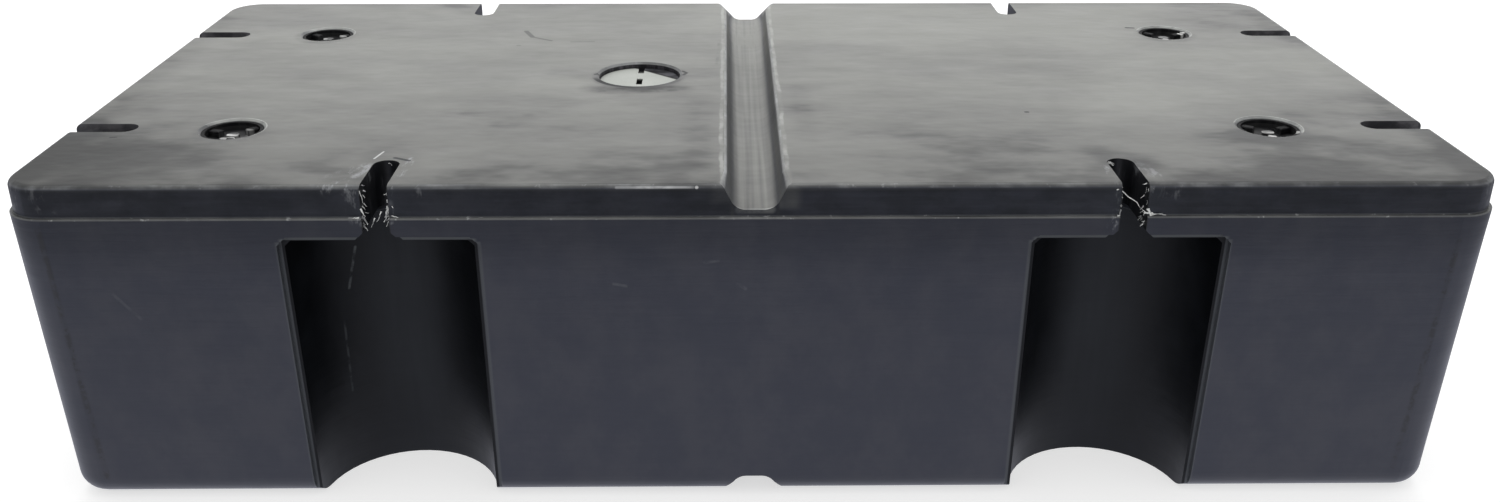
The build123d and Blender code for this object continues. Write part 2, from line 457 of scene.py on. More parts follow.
# The film also lies on the channel's slopes, and 5 mm further down on the right one.
channel_slope = abs(shell.x).between(18 * MM, 20 * MM, 30 * MM, 40 * MM)
raised = shell.z + 5 * MM * shell.x.rises(0.0, 5 * MM)
channel_slope = channel_slope * raised.rises(HEIGHT - 18 * MM, HEIGHT - 12 * MM)
film_and_sheen = shell.up.rises(0.45, 0.95).most(channel_slope * 0.8) * film_and_sheen_amount(shell)
shell.lay(film_and_sheen, CHALK_AND_SHEEN)
shell.tell("chalky film")

# %% [markdown]
# ### The worn top edge, with painted highlights
# The rounded edge of the top is rubbed before anything else, so it is pale in specks and bare in patches,
# and its pale is partly a painted highlight along the edge. One stretch to the left of the channel has a
# painted highlight line, with a painted highlight spot at its end, and the top is scuffed dark beside the
# channel's front mouth. Lines could be laid round the whole drum, but a mask that asks for both the slope
# and the height of the surface finds the edge by itself.

# %% Top edge
EDGE_SPECKS_AND_HIGHLIGHT, EDGE_BARE = (0.30, 0.31, 0.32), (0.03, 0.033, 0.04)
EDGE_HIGHLIGHT, HIGHLIGHT_SPOT = (0.60, 0.61, 0.62), (0.9, 0.9, 0.9)
CORNER_SCUFF = (0.016, 0.018, 0.025)

edge = shell.up.between(0.40, 0.75, 0.93, 0.998) * shell.z.rises(HEIGHT - 7 * MM, HEIGHT - 5 * MM)
shell.lay(edge * (0.10 + 0.5 * shell.specks + 0.5 * shell.blotches.rises(0.45, 0.7)), EDGE_SPECKS_AND_HIGHLIGHT)
shell.lay(edge * (0.7 * shell.patches.rises(0.52, 0.72)), EDGE_BARE)
# A painted highlight line on the front edge, and a painted highlight spot at its end.
highlight_line = shell.near_line(on_edge(-111, 49), on_edge(-50, 48), 0.5 * MM, 1.3 * MM)
shell.lay(highlight_line * (0.35 + 0.55 * shell.smudge), EDGE_HIGHLIGHT)
shell.lay(shell.near(on_edge(-47, 50), 1.0 * MM, 0.8 * MM), HIGHLIGHT_SPOT)
for side in (-1, 1):
    scuff = shell.near_line(on_top(side * 30, -303), on_top(side * 62, -302), 2 * MM, 7 * MM)
    shell.lay(scuff * (0.3 + 0.9 * (shell.blotches - 0.35)), CORNER_SCUFF)
shell.tell("worn top edge")

# %% [markdown]
# ### Round the closures
# Each closure sits in a dark smudge of grime, with painted shade where it reaches furthest, to the front,
# and light catches the far right edge of the vents' recesses in a thin crescent. A crescent could be drawn
# as an arc. Here it is what one disc leaves of another that lies a few millimetres off, which gives it the
# pointed ends. The fill opening has painted shade along its front edge, which is only worked out here,
# because it is laid with the black marks further down.

# %% Smudges and crescents
RING_GRIME_AND_SHADE, CRESCENT_PALE = (0.03, 0.03, 0.032), (0.40, 0.41, 0.39)
FRONT_SHADE_SHIFT, CRESCENT_SHIFT = at(0, 7, 0), at(5, 9, 0)

# Each smudge has the place of its closure, a radius and a strength.
rings = [(FILL_PLACE, FILL_RADIUS + 1 * MM, 0.42)]
rings += [(place, VENT_RADIUS + 0.5 * MM, 0.20) for place in VENT_PLACES]
# Grime round each closure, with painted shade where the smudge reaches to the front.
for place, radius, strength in rings:
    ring = shell.near(place - FRONT_SHADE_SHIFT, radius, 9 * MM) * shell.flat
    shell.lay(ring * (strength + 0.45 * shell.smudge), RING_GRIME_AND_SHADE)
for place in VENT_PLACES:
    whole = shell.near(place, VENT_RADIUS + 2.3 * MM, 1.2 * MM)
    rest = shell.near(place - CRESCENT_SHIFT, VENT_RADIUS + 1.5 * MM, 2.5 * MM)
    crescent = whole * (1 - rest) * shell.z.rises(HEIGHT - 2.2 * MM, HEIGHT - 1.2 * MM)
    shell.lay(crescent * (0.35 + 0.5 * shell.smudge), CRESCENT_PALE)

# Painted shade along the front edge of the fill opening, stronger to the left, with a strip of it just in
# front.
leftwards = (FILL_PLACE.x + 10 * MM - shell.x).rises(-30 * MM, 25 * MM)
frontwards = shell.y.rises(FILL_PLACE.y - 8 * MM, FILL_PLACE.y - 24 * MM)
front_edge_shade = shell.near(FILL_PLACE, FILL_RADIUS + 6 * MM, 2 * MM) * frontwards * (0.25 + 0.75 * leftwards)
front_shade_strip = shell.near_line(on_top(-140, -46), on_top(-82, -44), 4 * MM, 14 * MM) * (0.20 + 0.5 * shell.smudge)
marks_and_shade = shell.flat * front_edge_shade.most(front_shade_strip)
shell.tell("smudges round the closures")

# %% [markdown]
# ### The middle channel
# The channel's walls are darkened with painted shade, its two upper edges are pale in broken stretches,
# and the front end of its floor, here called the sill, has a pale rub. A straight pale line along an edge
# would look drawn, so it wanders a few millimetres with the patches, and a noise of its own breaks it up.

# %% Channel marks
CHANNEL_WALL_SHADE, CREST_PALE = (0.040, 0.042, 0.044), (0.46, 0.47, 0.45)
SILL_PALE, CREASE_GREY = (0.42, 0.43, 0.42), (0.05, 0.05, 0.05)
SILL_HALF = 13 * MM

# Painted shade on the channel's walls, weaker on the right one.
wall_shade = abs(shell.x).between(16 * MM, 18.2 * MM, 19 * MM, 21 * MM)
wall_shade = wall_shade * shell.z.rises(SEAM_Z, SEAM_Z + 2 * MM) * (1 - 0.55 * shell.x.rises(0.0, 5 * MM))
shell.lay(wall_shade * (0.30 + 0.8 * shell.smudge), CHANNEL_WALL_SHADE)
from_crest = abs(abs(shell.x) - CHANNEL_TOP_HALF + 6 * MM * (shell.patches - 0.5))
crest = from_crest.rises(2.6 * MM, 0.8 * MM) * shell.up.rises(0.8, 0.95)
broken = shell.noise(17.0, 4.0, 0.65, shift=(0, 6, 6)).rises(0.40, 0.62)
shell.lay(crest * (0.04 + 0.34 * broken), CREST_PALE)
sill_y, sill_z = -HALF_WIDTH + 2 * MM, SEAM_Z + 6 * MM
sill = shell.near_line((-SILL_HALF, sill_y, sill_z), (SILL_HALF, sill_y, sill_z), 1.2 * MM, 3.6 * MM)
shell.lay(sill * shell.smudge * 0.6, SILL_PALE)
crease = shell.near_line(on_top(-33, 40), on_top(-31, 120), 0.8 * MM, 1.4 * MM)
shell.lay(crease * 0.5 * shell.smudge, CREASE_GREY)
shell.tell("channel marks")

# %% [markdown]
# ### The parting lip and the pockets' mouths
# The two halves of the mould meet at the small lip all round, where dust gathers, with white specks, and
# the pale line there is partly a painted highlight of the ledge. Each pocket's mouth is rounded, and a
# painted highlight makes its skin a little paler there than on the wall, as it does a narrow band just
# above its ceiling. A pocket is a half-round whose axis leans with the drafted wall, so the distance from
# that axis tells the inside of a pocket from its mouth. The same distance serves again for the painted
# shade on the walls inside.


# %% Lip and mouths
def pocket_distance(shell):
    """The distance from the axis of the nearest pocket, which leans with the drafted wall."""
    lean = (SEAM_Z - shell.z) * DRAFT_SLOPE
    across, deep = abs(shell.x) - SLOT_X, abs(shell.y) + lean - HALF_WIDTH
    from_side_pocket = (across * across + deep * deep).root()
    across, deep = abs(shell.y) - END_SLOT_Y, abs(shell.x) + lean - HALF_LENGTH
    from_end_pocket = (across * across + deep * deep).root()
    return from_side_pocket.least(from_end_pocket)


LIP_DUST_AND_HIGHLIGHT = (0.40, 0.41, 0.41)
MOUTH_HIGHLIGHT, BROW_HIGHLIGHT = (0.095, 0.103, 0.108), (0.11, 0.12, 0.125)

# Dust and white specks on the lip, and a painted highlight of its ledge.
lip = abs(shell.z - SEAM_Z).rises(1.6 * MM, 0.5 * MM)
shell.lay(lip * (0.06 + 0.42 * shell.blotches + 1.1 * shell.specks).least(1.0), LIP_DUST_AND_HIGHLIGHT)
from_pocket = pocket_distance(shell) - POCKET_RADIUS
# Painted highlights on the pockets' rounded mouths and in a band just above each ceiling.
mouth_highlight = from_pocket.between(1.5 * MM, 3 * MM, 4.5 * MM, 7 * MM) * shell.side
shell.lay(mouth_highlight * shell.z.rises(CEILING_Z + 1.5 * MM, CEILING_Z) * 0.55, MOUTH_HIGHLIGHT)
above_ceiling = (shell.z - CEILING_Z).between(0.2 * MM, 1 * MM, 2.5 * MM, 4.5 * MM)
brow_highlight = from_pocket.rises(4 * MM, 0.0) * shell.side * above_ceiling
shell.lay(brow_highlight * 0.8, BROW_HIGHLIGHT)
shell.tell("parting lip and pocket mouths")

# %% [markdown]
# ### Cut walls
# The front slots were cut open with a saw, which leaves upright streaks between black and dull grey. The
# slots at the ends were moulded open, and their walls are dusty, with painted light that makes their upper
# part grey. The wall round the fill opening is streaked too, with a purple tinge. Each could be a material
# of its own on some faces, but the shell's facets don't end where these walls do, so masks from the slots'
# sizes pick them out.


# %% Slot and recess walls
def slot_wall(shell, across, slot_place):
    """1 on the upright walls beside slots that lie at one distance from the middle."""
    beside = abs(abs(across) - slot_place).rises(SLOT_HALF + 1.0 * MM, SLOT_HALF + 0.3 * MM)
    return beside * (1 - shell.up.rises(0.5, 0.8))


sawn = slot_wall(shell, shell.x, SLOT_X) * shell.z.rises(CEILING_Z - 3 * MM, CEILING_Z)
sawn = sawn * (shell.y + HALF_WIDTH - SLOT_DEPTH).rises(1.0 * MM, -0.5 * MM)
# Dust on the end slots' walls, with painted light on their upper part.
end_slot_wall_light = slot_wall(shell, shell.y, END_SLOT_Y) * shell.z.rises(HEIGHT - 26 * MM, HEIGHT - 4 * MM)
end_slot_wall_light = end_slot_wall_light * (abs(shell.x) - HALF_LENGTH + SLOT_DEPTH).rises(-3 * MM, -1 * MM)
recess = shell.near(FILL_PLACE, FILL_RADIUS + 0.5 * MM, 1 * MM) * (1 - shell.up.rises(0.3, 0.6))
recess = recess * shell.z.rises(HEIGHT - 0.4 * MM, HEIGHT - 1.6 * MM)

streak = shell.noise(240.0, 3.0, 0.7, stretch=(1, 1, 0.12), shift=(0, 3, 3))
raw_plastic = shell.mix(streak.rises(0.52, 0.80), (0.004, 0.004, 0.005), (0.10, 0.10, 0.11))
slot_dust_and_light = shell.mix(shell.smudge, (0.040, 0.039, 0.044), (0.150, 0.145, 0.155))
purple_streaks = shell.mix(streak.rises(0.40, 0.75), (0.010, 0.009, 0.012), (0.115, 0.105, 0.125))
shell.lay(sawn, raw_plastic)
shell.lay(end_slot_wall_light, slot_dust_and_light)
shell.lay(recess, purple_streaks)
shell.tell("cut walls")

# %% [markdown]
# ### Black marks and painted shade on the top
# The top has a few short black marks. Seven of them follow the edge of the fill opening and are painted
# shade of that edge, laid with the painted shade along its front; the rest are marks in the plastic. A
# dark colour alone wouldn't show there, because at this low angle the satin skin mirrors the sky whatever
# its colour is. So these marks are gathered in one mask, which darkens the colour here and takes the gloss
# away at the end.

# %% Black marks
# Two ends on the top and a half width, in millimetres, and a strength.
BLACK_MARKS_AND_EDGE_SHADE = (
    # The first five lines and the two round (-65, 9) follow the fill opening's edge: painted shade of that
    # edge. The rest are marks in the plastic.
    ((-154, 5), (-148, 9), 1.3, 0.9),
    ((-148, 9), (-141, 20), 1.0, 0.9),
    ((-151, -14), (-143, -24), 1.2, 0.9),
    ((-143, -24), (-128, -33), 1.0, 0.9),
    ((-128, -33), (-106, -38), 0.6, 0.9),
    ((-245, 170), (-235, 146), 2.0, 0.40),
    ((-235, 146), (-213, 131), 1.2, 0.30),
    ((-190, 126), (-167, 127), 1.4, 0.16),
    ((-246, 112), (-245, 112), 1.6, 0.16),
    ((-301, -236), (-288, -243), 1.1, 0.9),
    ((-66, 2), (-63, 9), 1.0, 0.9),
    ((-63, 9), (-67, 15), 0.9, 0.9),
    ((426, 181), (433, 180), 1.4, 0.9),
    ((-560, -183), (-556, -182), 0.8, 0.9),
    ((253, -118), (254, -118), 1.3, 0.9),
)
MARK_AND_SHADE_BLACK = (0.01, 0.01, 0.012)
MARK_SOFT = 1.2 * MM

for start, end, thick, strength in BLACK_MARKS_AND_EDGE_SHADE:
    mark = shell.near_line(on_top(*start), on_top(*end), thick * MM, MARK_SOFT)
    marks_and_shade = marks_and_shade.most(strength * mark)
shell.lay(marks_and_shade, MARK_AND_SHADE_BLACK)
shell.tell("black marks")

# %% [markdown]
# ### Scrapes, scratches and creases
# The saw has scraped the skin pale beside both front slots, on the top and down the rim, and the rim's
# rounded front corners have a painted highlight, laid the same way. The front face and the left pocket
# have a few light scratches, and both front corners have a dark crease. Every mark is a line between two
# points of the surface. A noise breaks it up, because a scrape only catches the high spots of the skin.

# %% Scrapes and scratches
# Two ends, half width and soft width in millimetres, and a strength.
SCRAPES_AND_CORNER_HIGHLIGHTS = (
    (on_top(-290, -299), on_top(-286, -238), 1.4, 3.0, 0.9),
    (on_top(-340, -290), on_top(-320, -262), 5, 12, 0.55),
    (on_top(-345, -300), on_top(-322, -302), 2, 7, 0.7),
    (on_front(-322, 296), on_front(-320, 272), 2, 8, 0.8),
    (on_front(-286, 292), on_front(-262, 293), 2, 5, 0.7),
    (on_front(-292, 284), on_front(-290, 262), 1, 4, 0.9),
    (on_top(293, -300), on_top(288, -262), 1.5, 5, 0.6),
    (on_top(316, -258), on_top(330, -285), 3, 10, 0.4),
    (on_front(292, 294), on_front(290, 284), 1.5, 4, 1.0),
    (on_front(291, 274), on_front(288, 262), 1.5, 4, 0.9),
    (on_front(318, 292), on_front(338, 290), 2, 6, 0.6),
    # The two that run down from x = ±600 mm lie on the rim's rounded front corners: a painted highlight
    # there, broken up like the scrapes.
    (at(-600, -295, 291), at(-606, -285, 274), 5, 14, 0.40),
    (at(600, -295, 292), at(606, -285, 280), 4, 14, 0.35),
    (on_front(-575, 292), on_front(-568, 276), 2, 10, 0.5),
)
FACE_SCRATCHES = (
    (on_front(-529, 207), on_front(-508, 181), 0.5, 1.6, 0.14),
    (on_front(-41, 231), on_front(-30, 233), 0.4, 1.6, 0.25),
    (on_front(-116, 212), on_front(-106, 210), 0.4, 1.6, 0.22),
    (on_front(-14, 212), on_front(-8, 207), 0.5, 1.6, 0.22),
)
CORNER_CREASES = ((on_front(-575, 262), on_front(-567, 22)), (on_front(573, 248), on_front(565, 28)))
SCRAPE_AND_HIGHLIGHT_PALE, SLIVER_PALE = (0.30, 0.31, 0.33), (0.62, 0.63, 0.63)
SCRATCH_GREY, CREASE_BLACK = (0.17, 0.18, 0.19), (0.004, 0.004, 0.005)

high_spots = shell.noise(130.0, 3.0, 0.7, stretch=(1, 0.4, 0.5), shift=(6, 0, 1)).rises(0.50, 0.66)
shell.lay_marks(SCRAPES_AND_CORNER_HIGHLIGHTS, high_spots, SCRAPE_AND_HIGHLIGHT_PALE)
sliver = shell.near_line(on_top(-318, -238), on_top(-314, -221), 0.35 * MM, 0.9 * MM)
shell.lay(sliver * 0.8, SLIVER_PALE)
nicks = shell.noise(90.0, 3.0, 0.7, shift=(0, 0, 8))
shell.lay_marks(FACE_SCRATCHES, nicks.rises(0.35, 0.6), SCRATCH_GREY)
for head, foot in CORNER_CREASES:
    crease = shell.near_line(head, foot, 0.8 * MM, 3.2 * MM) * (0.25 + nicks.rises(0.46, 0.60)).least(1.0)
    shell.lay(crease * 0.75, CREASE_BLACK)
shell.tell("scrapes, scratches and creases")

# %% [markdown]
# ### The waves of the skin
# Seen along it, the skin isn't flat: the top sags in broad waves of a millimetre or two, the walls have
# low level ripples from the mould, and the grain is a few hundredths of a millimetre deep. At this size a
# bump, which changes how the light falls and leaves the shape alone, shows the same as moved points would,
# without millions of facets. The waves are stacked from the broadest to the finest, each on top of the one
# before.

# %% Waves and roughness
grain = shell.noise(420.0, 2.0, 0.6)
normal = None
for height, depth in (
    (shell.clouds, 2.2),
    (shell.patches, 0.40),
    (shell.ripples * shell.side, 0.30),
    (shell.blotches, 0.10),
    (grain, 0.02),
):
    normal = shell.bump(height, depth * MM, under=normal)
roughness = 0.40 + 0.14 * (shell.patches - 0.5) + 0.10 * film_and_sheen + 0.10 * (shell.blotches - 0.5)
shell.tell("waves and roughness")

# %% [markdown]
# ### Painted shade on the skin
# Inside the pockets the plastic is blacker and less glossy: painted shade for the deep pockets. It is
# paler down the middle of each wall, a painted reflection of the floor, with two long scratches in the
# left one. The strength of reflection is kept even within each plastic, so there are two plastics, one
# open and one shaded, and a mask passes between them. The rim and the wall just below the lip take some of
# the shaded one too as painted shade, and so do the black marks and the barest parts of the top.

# %% Inside the pockets
POCKET_SHADE_BLACK, POCKET_SHADE_SKIN = (0.0025, 0.0032, 0.0045), (0.0060, 0.0072, 0.0095)
POCKET_REFLECTION, POCKET_SCRATCH = (0.020, 0.023, 0.028), (0.12, 0.13, 0.14)
POCKET_SCRATCHES = (
    (at(-343.4, -236.1, 216.7), at(-351.7, -240.3, 179.3), 0.5, 1.2, 0.7),
    (at(-358.1, -244.8, 150.9), at(-359.1, -243.1, 79.2), 0.4, 1.2, 0.3),
)

open_skin = shell.plastic(
    Base_Color=shell.colour, Roughness=roughness, Normal=normal, Specular_IOR_Level=0.5)
# The shaded plastic: painted shade, blacker inside the pockets, with a painted reflection down the middle
# of each wall.
shell.colour = POCKET_SHADE_BLACK
shell.lay(shell.blotches.rises(0.4, 0.8), POCKET_SHADE_SKIN)
from_middle = abs(abs(shell.x) - SLOT_X).least(abs(abs(shell.y) - END_SLOT_Y))
upright_streaks = shell.noise(30.0, 3.0, 0.6, stretch=(3, 3, 0.25))
lightened = from_middle.rises(46 * MM, 8 * MM) * (0.25 + 0.75 * upright_streaks)
shell.lay(lightened * (0.45 + 0.55 * shell.z.rises(10 * MM, 130 * MM)), POCKET_REFLECTION)
shell.lay_marks(POCKET_SCRATCHES, nicks.rises(0.35, 0.6), POCKET_SCRATCH)
shaded_skin = shell.plastic(
    Base_Color=shell.colour, Roughness=roughness + 0.08, Normal=normal, Specular_IOR_Level=0.22)

# Where the shaded plastic goes: painted shade inside the pockets, on the rim and just below the lip, and
# the dull black marks and barest top.
inside = from_pocket.rises(3.0 * MM, 1.8 * MM) * shell.z.rises(CEILING_Z + 1.0 * MM, CEILING_Z + 0.3 * MM)
rim_shade = rim * (0.22 + 0.5 * shell.ripples + 0.18 * shell.smudge)
under_lip_shade = shell.side * shell.z.rises(SEAM_Z - 60 * MM, SEAM_Z - 6 * MM)
bare_top = shell.flat * film_and_sheen.rises(0.42, 0.02) * abs(shell.x).rises(26 * MM, 32 * MM)
shade_and_dull_marks = inside.most(rim_shade).most(under_lip_shade * 0.30).most(bare_top * 0.55).most(marks_and_shade)
give("float_shell", shell.close(shell.blend(shade_and_dull_marks, open_skin, shaded_skin)))
shell.tell("finished")

# %% [markdown]
# ## The vent plugs
# The four vent plugs are injection moulded, so they are smoother and glossier than the drum, with a little
# dust in the dish and a rubbed, dull rim. Window light lies on each dish in two or three small glints.
# True reflections would need the room that the drum stood in, so each glint is a short pale mark at its
# own place, and the noise is read flat, without Z, so that it doesn't smear down the dish's wall.

# %% Vent plugs
PLUG_BLACK, PLUG_DUST, GLINT = (0.004, 0.004, 0.005), (0.16, 0.16, 0.16), (0.62, 0.62, 0.61)
# For each plug: two ends from its middle and a half width, in millimetres, and a strength.
VENT_GLINTS = {
    "front_left": (
        ((-10, 0), (3, -2), 1.6, 0.8), ((-8, -12), (15, -14), 1.2, 0.6), ((10, 8), (16, 7), 1.0, 0.3)),
    "front_right": (
        ((-4, 0), (6, -2), 1.2, 0.6), ((-6, -17), (1, -20), 3.0, 1.0), ((20, -12), (24, -10), 1.6, 0.7)),
    "back_left": (
        ((-11, 0), (-3, 0), 1.4, 0.6), ((8, 5), (17, 4), 1.4, 0.6), ((-4, -20), (6, -20), 1.4, 0.5)),
    "back_right": (
        ((20, 8), (23, 7), 1.8, 1.0), ((-5, -8), (1, -17), 2.4, 0.9), ((4, -18), (12, -17), 1.2, 0.3)),
}


def glossy_plug(name, low, high, glints):
    """One vent plug's finish, from the corners of its box and its glints."""
    plug = Finish(name, PLUG_BLACK)
    middle = (low + high) / 2
    plug.place = plug.vectors("MULTIPLY", plug.place, (1, 1, 0))
    dusting = plug.noise(120.0, 4.0, 0.65)
    smear = plug.noise(45.0, 3.0, 0.6, shift=(2, 0, 0))
    plug.lay(dusting.rises(0.40, 0.75) * 0.12, PLUG_DUST)
    broken = 0.4 + 0.6 * smear.rises(0.35, 0.60)
    for start, end, radius, strength in glints:
        ends = [Vector((middle.x + x * MM, middle.y + y * MM, 0)) for x, y in (start, end)]
        plug.lay(plug.near_line(*ends, radius * MM, 1.6 * MM) * strength * broken, GLINT)
    normal = plug.bump(smear, 0.35 * MM)
    roughness = 0.46 - 0.26 * smear.rises(0.4, 0.75)
    glossy = plug.plastic(
        Base_Color=plug.colour, Roughness=roughness, Normal=normal, Specular_IOR_Level=0.6)
    rubbed = plug.plastic(
        Base_Color=plug.colour, Roughness=0.62, Normal=normal, Specular_IOR_Level=0.12)
    on_rim = plug.z.rises(high.z - 3.4 * MM, high.z - 2.6 * MM)
    return plug.close(plug.blend(on_rim, glossy, rubbed))


for corner, glints in VENT_GLINTS.items():
    give("vent_plug_" + corner, glossy_plug("glossy_" + corner, *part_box("vent_plug_" + corner), glints))

# %% [markdown]
# ## The pale closure
# The large closure is pale and matt, and dirt has gathered where its edge meets the recess. A
# straight-edged piece at the back on the right is painted shade, dark and grey behind a black line, and
# the two slots for the turning bar are black. The line lies askew, so the mask reads the distance along a
# slanted direction, which is one sum of X and Y.

# %% Pale closure
CLOSURE_PALE, CLOSURE_CLOUD = (0.37, 0.385, 0.36), (0.30, 0.315, 0.29)
CLOSURE_SOIL, CLOSURE_EDGE = (0.12, 0.12, 0.11), (0.02, 0.02, 0.022)
SHADE_DARK, SHADE_GREY = (0.008, 0.008, 0.010), (0.085, 0.085, 0.095)
LINE_BLACK, SLOT_BLACK = (0.004, 0.004, 0.004), (0.003, 0.003, 0.003)
SHADE_LINE_TURN = math.radians(47.5)
CLOSURE_TOP = FILL_PLACE - Vector((0, 0, FILL_DEPTH))


def pale_closure():
    """The finish of the fill opening's closure."""
    disc = Finish("soiled_pale_with_shade", CLOSURE_PALE)
    cloud = disc.noise(30.0, 4.0, 0.6)
    specks = disc.noise(300.0, 2.0, 0.6).rises(0.66, 0.74)
    clean = disc.near(CLOSURE_TOP, 33 * MM, 8 * MM)
    disc.lay(cloud.rises(0.35, 0.75) * 0.5, CLOSURE_CLOUD)
    disc.lay((1 - clean) * 0.35 + specks * 0.3, CLOSURE_SOIL)

    # Painted shade on a straight-edged piece at the back on the right, behind a black line.
    along = math.cos(SHADE_LINE_TURN) * (disc.x - FILL_PLACE.x) + math.sin(SHADE_LINE_TURN) * (disc.y - FILL_PLACE.y)
    shade_noise = disc.noise(90.0, 3.0, 0.6, stretch=(0.5, 1.5, 1)).rises(0.35, 0.70)
    shaded_piece = along.rises(24.5 * MM, 26.5 * MM)
    disc.lay(shaded_piece, disc.mix(shade_noise, SHADE_DARK, SHADE_GREY))
    disc.lay(along.between(23.5 * MM, 24.5 * MM, 26.0 * MM, 27.5 * MM) * 0.9, LINE_BLACK)
    disc.lay(1 - disc.near(CLOSURE_TOP, 38.6 * MM, 1.2 * MM), CLOSURE_EDGE)
    disc.lay((CLOSURE_TOP.z - disc.z).rises(0.8 * MM, 1.8 * MM), SLOT_BLACK)

    normal = disc.bump(cloud, 0.2 * MM)
    pale = disc.plastic(Base_Color=disc.colour, Roughness=0.5 + 0.1 * cloud, Normal=normal)
    dull = disc.plastic(Base_Color=disc.colour, Roughness=0.7, Normal=normal, Specular_IOR_Level=0.1)
    disc.tell("all layers")
    return disc.close(disc.blend(shaded_piece, pale, dull))


give("fill_plug", pale_closure())

# %% [markdown]
# ## Swarf in the front slots
# The two front slots were opened with a saw, and shreds of plastic still hang from their edges, with a
# long one lying across the right slot and another on the lip beside it. A particle system could grow them,
# but these hang at known places. So each is a thin tapering strand with an uneven bend, three-sided
# because nothing finer shows at this size: a small triangle is extruded step by step, moved along a bow
# and shrunk a little each time. Each step leaves its triangle inside the strand, where nothing shows it. A
# strand starts inside the wall that it hangs from.

# %% One shred
STRAND_SIDES, STRAND_STEPS = 3, 7
SHRED_GREY, SHRED_WHITE = (0.22, 0.225, 0.23), (0.80, 0.81, 0.80)


def strand(mesh, start, end, thick, bow, chance):
    """Add one tapering strand between two points, in millimetres, bent by up to bow."""
    start, end = Vector(start) * MM, Vector(end) * MM
    turn = (end - start).to_track_quat("Z", "Y").to_matrix()
    aside, above = turn.col[0], turn.col[1]
    root = Matrix.Translation(start) @ turn.to_4x4()
    made = bmesh.ops.create_circle(
        mesh, cap_ends=True, segments=STRAND_SIDES, radius=thick * MM, matrix=root)
    face = made["verts"][0].link_faces[0]
    last = start
    for step in range(1, STRAND_STEPS + 1):
        part = step / STRAND_STEPS
        bend = math.sin(math.pi * part) * bow * MM
        sideways = aside * chance.uniform(0.4, 1.0) + above * chance.uniform(-0.5, 0.5)
        centre = start.lerp(end, part) + bend * sideways
        grown = bmesh.ops.extrude_face_region(mesh, geom=[face])["geom"]
        ring = [one for one in grown if isinstance(one, bmesh.types.BMVert)]
        face = next(one for one in grown if isinstance(one, bmesh.types.BMFace))
        bmesh.ops.translate(mesh, verts=ring, vec=centre - last)
        shrink = chance.uniform(0.68, 0.95)
        bmesh.ops.scale(mesh, verts=ring, vec=(shrink, shrink, shrink), space=Matrix.Translation(-centre))
        last = centre


def pale_shreds():
    """Torn plastic, which whitens where it was stretched."""
    finish = Finish("pale_shreds", SHRED_GREY)
    finish.lay(finish.noise(160.0, 2.0, 0.6).rises(0.35, 0.6), SHRED_WHITE)
    return finish.close(finish.plastic(Base_Color=finish.colour, Roughness=0.45))


shred_finish = pale_shreds()
print(shred_finish.name, "is ready, and a shred has", STRAND_STEPS, "steps")

# %% [markdown]
# The long shreds are placed one by one, because they are what the eye finds first. Short ones make a
# fringe down both front edges of a slot, and their places come from seeded chance, so that they are the
# same every time.

# %% Both slots' shreds
# Two ends, a radius and a bow, in millimetres.
LEFT_STRANDS = (
    ((-306, -240.5, 295.2), (-301, -249, 296.0), 0.8, 1.0),
    ((-294.2, -301, 281), (-297, -303.5, 272), 1.1, 1.4),
    ((-294.0, -300.5, 277), (-298, -303.6, 268), 0.9, 1.2),
    ((-293.6, -300, 272), (-296.5, -303.4, 264), 1.2, 1.0),
    ((-315.6, -301, 294), (-313.5, -302.5, 284), 0.6, 0.8),
    ((-315.8, -302, 279), (-312.8, -303.5, 270), 0.9, 0.8),
    ((-316.0, -301, 272), (-311.0, -303.8, 266), 1.3, 1.2),
    ((-317.5, -303.2, 271.6), (-326, -303.9, 271.8), 0.7, 0.5),
    ((-294.4, -299, 284), (-289.5, -303.0, 280), 0.9, 0.8),
    ((-294.2, -301, 273), (-286, -303.9, 271.8), 0.9, 0.5),
    ((-306.0, -300, 270), (-309, -302.5, 263), 0.7, 1.0),
    ((-300.0, -300.5, 276), (-304, -303, 268), 0.7, 1.6),
)
RIGHT_STRANDS = (
    ((298, -243.5, 295.4), (300, -251, 296.2), 0.7, 0.8),
    ((294.0, -286, 293), (297.5, -290, 284), 0.8, 1.2),
    ((294.2, -297, 291), (315.9, -303.2, 273), 0.6, 2.0),
    ((315.4, -300.5, 276), (322, -303.4, 272.4), 1.0, 0.8),
    ((313.0, -302.0, 273.5), (331, -303.5, 272.0), 0.9, 0.7),
    ((318.0, -302.6, 271.4), (328, -303.9, 273.6), 0.7, 0.5),
    ((316.0, -302.2, 277), (320, -303.6, 268), 1.4, 0.9),
    ((294.4, -301, 276), (291, -303.6, 266), 0.9, 0.9),
    ((292.0, -303.2, 272), (291.4, -303.8, 262), 0.8, 0.8),
    ((293.4, -300, 295), (289, -301.6, 293), 1.3, 0.5),
    ((315.8, -298, 292), (319, -301.4, 294), 0.9, 0.5),
    ((296.0, -246, 296.0), (299.5, -251, 295.0), 1.3, 0.6),
)
# The fringe: how many shreds down each edge, how far behind the front and how high, in millimetres
FRINGE_SHREDS = 14
FRINGE_BEHIND, FRINGE_HEIGHT = (4.5, 18), (260, 296)


